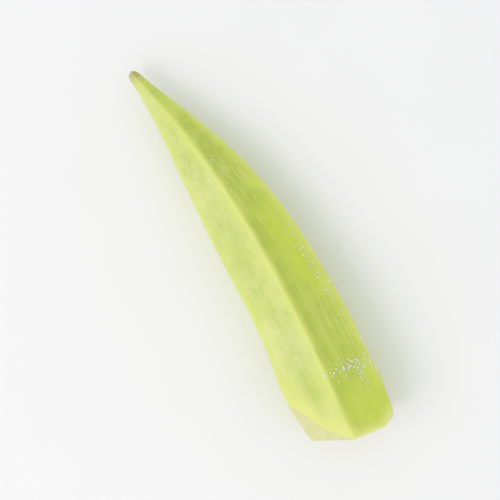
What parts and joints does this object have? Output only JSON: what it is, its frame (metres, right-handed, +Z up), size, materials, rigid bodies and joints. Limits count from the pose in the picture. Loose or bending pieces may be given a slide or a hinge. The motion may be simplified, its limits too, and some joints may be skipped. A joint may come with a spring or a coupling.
{
  "type": "okra pod",
  "caption": "Whole frozen okra pod with its stem and cap cut off: a ribbed five-sided pod with a gentle bend, tapering to a slender tip, lying on one face.",
  "frame": {"origin": "on the surface that the pod lies on, under the middle of its bounding box", "axes": "+X along the pod from the cut end to the tip, +Z up, with one face down and a rib on top, and the pod bends towards +Y"},
  "size_m": [0.0908, 0.022, 0.0178],
  "materials": {
    "okra_skin": "blanched and frozen okra skin, light yellow green with paler ribs, satin under a thin bloom of frost"
  },
  "bodies": {
    "root": {"okra_pod": "okra_skin"}
  },
  "joints": []
}
